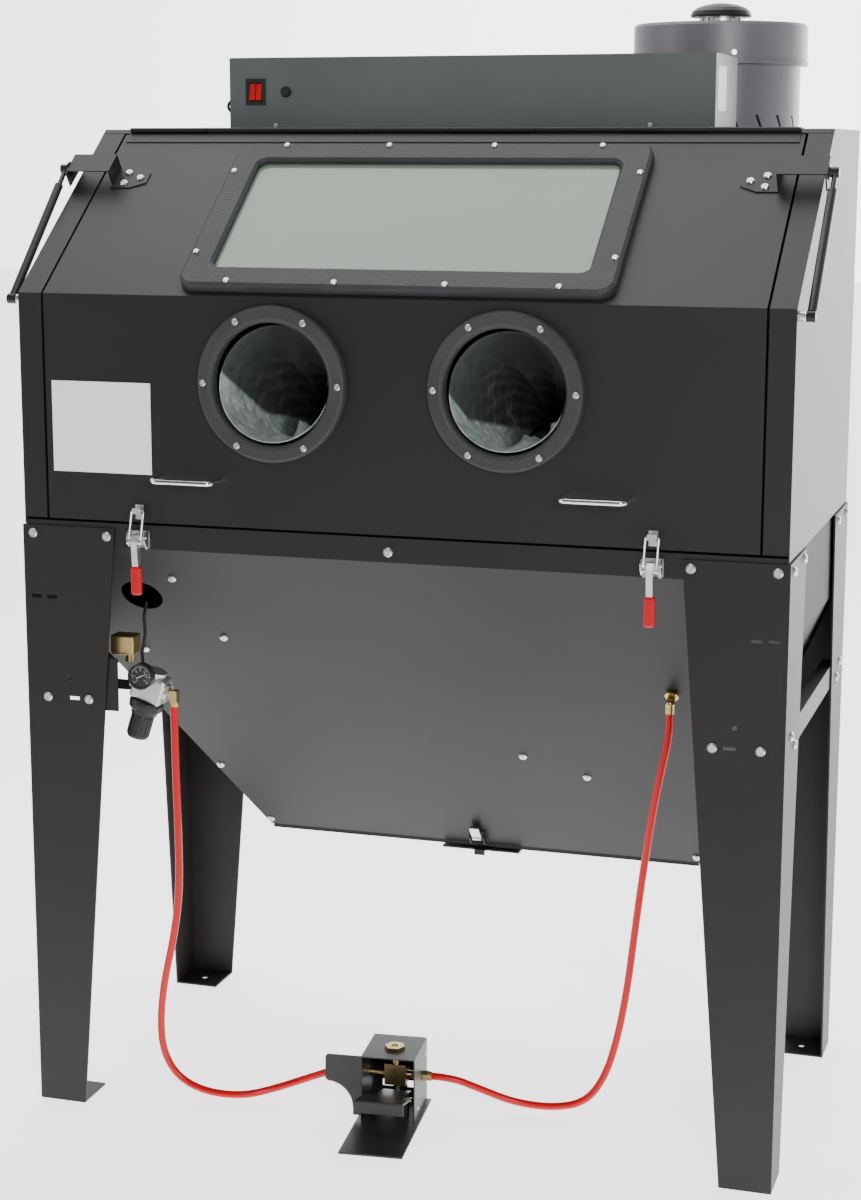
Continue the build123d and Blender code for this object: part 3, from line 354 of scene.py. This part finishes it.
def coated_cloth(name, dark, grit_and_lit_colour, low=0.0, high=1.0, grit_and_light_map=False):
    """Rubbery cloth with a fine weave, paler where its map of grit and painted light says, or below a height.
    """
    material = finish(name, dark, 0.62, vary=0.2, grain=900, patch=30)
    tree = material.node_tree
    surface = tree.nodes["Principled BSDF"]
    place = tree.nodes.new("ShaderNodeTexCoord").outputs["Object"]
    if grit_and_light_map:
        marks = tree.nodes.new("ShaderNodeAttribute")
        marks.attribute_name = "grit_and_light"
        pale_share = marks.outputs["Fac"]
    else:
        parts = tree.nodes.new("ShaderNodeSeparateXYZ")
        tree.links.new(place, parts.inputs["Vector"])
        pale_share = spread(tree, parts.outputs["Z"], high, low)
    scuffs = spread(tree, noise(tree, place, 55, 8.0, 0.7), 0.36, 0.62, 0.4, 1.0)
    both = tree.nodes.new("ShaderNodeMath")
    both.operation = "MULTIPLY"
    tree.links.new(pale_share, both.inputs[0])
    tree.links.new(scuffs, both.inputs[1])
    # The pale mix is grit, and on the sleeves also painted light and painted shade from the map.
    tree.links.new(mix_colour(tree, dark, grit_and_lit_colour, both.outputs["Value"]), surface.inputs["Base Color"])
    weave = tree.nodes.new("ShaderNodeTexWave")
    weave.wave_type = "BANDS"
    weave.inputs["Scale"].default_value = 330
    weave.inputs["Distortion"].default_value = 2.5
    tree.links.new(place, weave.inputs["Vector"])
    bump(tree, weave.outputs["Fac"], 0.00025, surface, 0.7)
    surface.inputs["Sheen Weight"].default_value = 0.12
    surface.inputs["Sheen Roughness"].default_value = 0.5
    return material


# Sleeve cloth: its pale colour is grit plus painted light on the sleeves' lit walls.
cloth = coated_cloth("sleeve_cloth", (0.0055, 0.0065, 0.0075), (0.46, 0.54, 0.53), grit_and_light_map=True)
# Each fold is its place and drift round the sleeve in degrees, its width in degrees and its depth.
# The cloth turns pale below either of two sloping lines, each given by its height amidships and
# its slope: grit, and painted light on the lit lower walls. The lines drift and fall toward the back,
# as the sleeve sags.
FOLDS = {
    "left": [(-58, -34, 13, 0.034), (-104, 12, 10, 0.012), (150, -22, 24, 0.012), (78, 10, 46, 0.040),
             (14, -10, 12, 0.016)],
    "right": [(-84, 26, 17, 0.026), (-38, 14, 11, 0.020), (168, 16, 26, 0.014), (96, -14, 44, 0.038),
              (30, 8, 14, 0.014)]}
GRIT_AND_LIGHT_BELOW = {"left": [(-0.0534, -0.81), (-0.0317, 0.05)], "right": [(-0.0360, 0.04), (-0.1050, -1.1)]}
LINE_DRIFT = 0.31
LINE_FALL = 0.19
WRINKLE_PHASE = {"left": 0.7, "right": 3.9}
PORT_X = 0.1845
PORT_MIDDLE = np.array([0.0, -0.3134, 1.209])
turns, depths = np.meshgrid(np.linspace(0, 2 * np.pi, 168, endpoint=False), np.linspace(0, 1, 96))
for side, sign in (("left", -1), ("right", 1)):
    mouth = PORT_MIDDLE + np.array([sign * PORT_X, 0.0, 0.0])
    points = sleeve_surface(turns, depths, mouth, FOLDS[side], WRINKLE_PHASE[side])
    mesh = grid_mesh("sleeve_" + side, points)
    sideways, depth, height = np.moveaxis(points - mouth, -1, 0)
    across = sideways + LINE_DRIFT * depth
    edges = [start + slope * across - height - LINE_FALL * depth for start, slope in GRIT_AND_LIGHT_BELOW[side]]
    # Pale below the lines (grit and painted light); the added term is painted light on the lit left wall.
    grit_and_light = np.clip(np.maximum(*edges) / 0.006, 0, 1) + 0.12 * np.clip(-across / 0.09, 0, 1)
    # Painted shade: the pale colour fades deep inside the sleeve, where little light reaches.
    grit_and_light = grit_and_light * (1 - 0.7 * np.clip((depths - 0.55) / 0.3, 0, 1))
    mesh.attributes.new("grit_and_light", "FLOAT", "POINT").data.foreach_set("value", grit_and_light.ravel())
    sleeve = place_piece("sleeve_" + side, mesh, cloth, "door")
    wall = sleeve.modifiers.new("cloth_thickness", "SOLIDIFY")
    wall.thickness = 0.0011
    wall.offset = 1.0
    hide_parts("gloves")

# Each glove hangs limp from its sleeve's cuff: palm, four fingers and thumb in one moulding.
def limp_tube(path, radii, flat):
    """Tube through the path's points, rounded off at both ends.

    A ring of 28 points stands at each of 24 steps. Its radius is the given radius times
    sqrt(1 - e^8), where e runs from -1 at one end to 1 at the other. Its height is that times flat.
    """
    step = np.linspace(0, 1, 24)
    knots = np.linspace(0, 1, len(path))
    middle = np.column_stack([np.interp(step, knots, np.array(path)[:, k]) for k in range(3)])
    size = np.interp(step, knots, radii) * np.sqrt(np.clip(1 - (2 * step - 1) ** 8, 0.0004, 1))
    angle = np.linspace(0, 2 * np.pi, 28, endpoint=False)
    x = middle[:, 0, None] + size[:, None] * np.cos(angle)
    y = middle[:, 1, None] + 0 * angle
    z = middle[:, 2, None] + flat * size[:, None] * np.sin(angle)
    return np.stack([x, y, z], axis=-1)


def glove_parts(thumb_side):
    """Palm, cuff, fingers and thumb before they are merged, with Y along the hand from the wrist."""
    parts = [limp_tube([(0, -0.004, 0), (0, 0.03, 0), (0, 0.098, -0.006)], [0.049, 0.043, 0.043], 0.52)]
    for k, reach in enumerate((0.150, 0.163, 0.158, 0.142)):
        x = (k - 1.5) * 0.0205
        finger = [(x * 0.95, 0.075, -0.003), (x * 1.1, 0.115, -0.008), (x * 1.12, reach, -0.024)]
        parts.append(limp_tube(finger, [0.0118, 0.0115, 0.0098], 0.9))
    thumb = [(thumb_side * 0.022, 0.028, -0.002), (thumb_side * 0.043, 0.06, -0.010),
             (thumb_side * 0.048, 0.10, -0.022)]
    parts.append(limp_tube(thumb, [0.014, 0.0125, 0.0095], 0.9))
    return parts


def capped(points):
    """Vertices and faces of a closed tube, with a single face over each end."""
    rows, columns = points.shape[:2]
    index = np.arange(rows * columns).reshape(rows, columns)
    beside = np.roll(index, -1, axis=1)
    quads = np.stack([index[:-1], index[1:], beside[1:], beside[:-1]], axis=-1).reshape(-1, 4).tolist()
    return points.reshape(-1, 3), quads + [index[0].tolist(), index[-1, ::-1].tolist()]


HAND_FALL = 0.36
HAND_RUN = 0.93
HAND_LEAN = -np.arctan2(HAND_FALL, HAND_RUN)
glove_rubber = coated_cloth("glove_rubber", (0.03, 0.034, 0.035), (0.16, 0.18, 0.18), 1.02, 1.14)
for side, sign in (("left", -1), ("right", 1)):
    vertices = []
    faces = []
    for part in glove_parts(-sign):
        places, part_faces = capped(part)
        start = sum(len(v) for v in vertices)
        vertices.append(places)
        faces += [[corner + start for corner in face] for face in part_faces]
    rough_mesh = bpy.data.meshes.new("glove_rough")
    rough_mesh.from_pydata(np.concatenate(vertices).tolist(), [], faces)
    rough = bpy.data.objects.new("glove_rough", rough_mesh)
    bpy.context.scene.collection.objects.link(rough)
    merge = rough.modifiers.new("merge", "REMESH")
    merge.mode = "VOXEL"
    merge.voxel_size = 0.0026
    ease = rough.modifiers.new("ease", "SMOOTH")
    ease.factor = 0.6
    ease.iterations = 9
    hand = bpy.data.meshes.new_from_object(rough.evaluated_get(bpy.context.evaluated_depsgraph_get()))
    hand.name = "glove_" + side
    bpy.data.objects.remove(rough)
    hand.transform(Matrix.Translation((sign * PORT_X, -0.030, 1.100)) @ Matrix.Rotation(HAND_LEAN, 4, "X"))
    hand.polygons.foreach_set("use_smooth", np.ones(len(hand.polygons), bool))
    glove = place_piece("glove_" + side, hand, glove_rubber, "door")
    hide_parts("gloves")

# ---- plates, grips, struts and the rest ------------------------------------------------------
# The plates are enamelled steel and blank, the latch grips are dipped in vinyl, and the struts
# have painted tubes. The lamp has an opal cover, the filter pleated paper and the gauge a lens.
plate_white = finish("plate_enamel", (0.90, 0.90, 0.89), 0.32, vary=0.03, grain=500, patch=20,
                     Coat_Weight=0.2)
paint(plate_white, "notice_plate_left", "notice_plate_box")
grip_red = finish("dipped_vinyl", (0.46, 0.0002, 0.010), 0.36, vary=0.08, grain=400,
                  relief=0.00006, patch=60, Specular_IOR_Level=0.35)
paint(grip_red, "latch_grip_left", "latch_grip_right")
rocker_red = finish("rocker_red", (0.50, 0.004, 0.006), 0.28, vary=0.06, grain=400, Coat_Weight=0.2)
paint(rocker_red, "rocker_1", "rocker_2")
strut_black = powder("strut_tube_paint", (0.014, 0.014, 0.015), 0.28, peel=0.00005)
paint(strut_black, "strut_tube_left", "strut_tube_right")
paint(finish("lamp_diffuser", (0.80, 0.80, 0.78), 0.35, vary=0.03), "work_lamp")
pleats = finish("filter_paper", (0.70, 0.66, 0.55), 0.85, vary=0.12, grain=300, relief=0.0003)
paint(pleats, "filter_cartridge")
paint(finish("gauge_black", (0.012, 0.012, 0.012), 0.5, vary=0.05), "gauge_face")
lens = finish("gauge_lens", (0.95, 0.96, 0.96), 0.03, vary=0.01, Transmission_Weight=1.0, IOR=1.2)
paint(lens, "gauge_lens")

# ---- pressure gauge --------------------------------------------------------------------------
# A black dial under a clear lens, printed with white ticks and plain numbers. The white needle
# is a tapered strip that stands just clear of the dial.
GAUGE = np.array([-0.415, -0.32115, 0.7365])
DIAL_START = 225
TICK_STEP = 9
TICK_R = 0.0168
NUMBER_R = 0.0098
NEEDLE_AT = 24
dial_white = finish("dial_white", (0.85, 0.85, 0.84), 0.5, vary=0.02)
dial_corners = []
for k in range(31):
    angle = np.radians(DIAL_START - TICK_STEP * k)
    out = np.array([np.cos(angle), 0, np.sin(angle)])
    major = k % 5 == 0
    across = np.array([-np.sin(angle), 0, np.cos(angle)]) * (0.00042 if major else 0.00022)
    inner = 0.0128 if major else 0.0145
    dial_corners += [GAUGE + out * inner - across, GAUGE + out * TICK_R - across,
                     GAUGE + out * TICK_R + across, GAUGE + out * inner + across]
needle_out = np.array([np.cos(np.radians(NEEDLE_AT)), 0, np.sin(np.radians(NEEDLE_AT))])
needle_side = np.array([-needle_out[2], 0, needle_out[0]])
hub = GAUGE - np.array([0, 0.0016, 0])
for away, wide in ((0.0145, -0.00018), (0.0145, 0.00018), (-0.007, 0.0009), (-0.007, -0.0009)):
    dial_corners.append(hub + needle_out * away + needle_side * wide)
marks = bpy.data.meshes.new("gauge_marks")
mark_faces = np.arange(len(dial_corners)).reshape(-1, 4)
marks.from_pydata([c.tolist() for c in dial_corners], [], mark_faces.tolist())
place_piece("gauge_marks", marks, dial_white, "frame")
for k, number in enumerate(("0", "2", "4", "6", "8", "10", "12")):
    angle = np.radians(DIAL_START - 5 * TICK_STEP * k)
    text = bpy.data.curves.new("gauge_number", "FONT")
    text.body = number
    text.size = 0.0042
    text.align_x = "CENTER"
    text.align_y = "CENTER"
    shape = bpy.data.objects.new("gauge_number", text)
    digits = bpy.data.meshes.new_from_object(shape)
    bpy.data.objects.remove(shape)
    middle = GAUGE + NUMBER_R * np.array([np.cos(angle), 0, np.sin(angle)])
    digits.transform(Matrix.Translation(middle) @ Matrix.Rotation(np.pi / 2, 4, "X"))
    digits.materials.clear()
    place_piece("gauge_number_" + number, digits, dial_white, "frame")
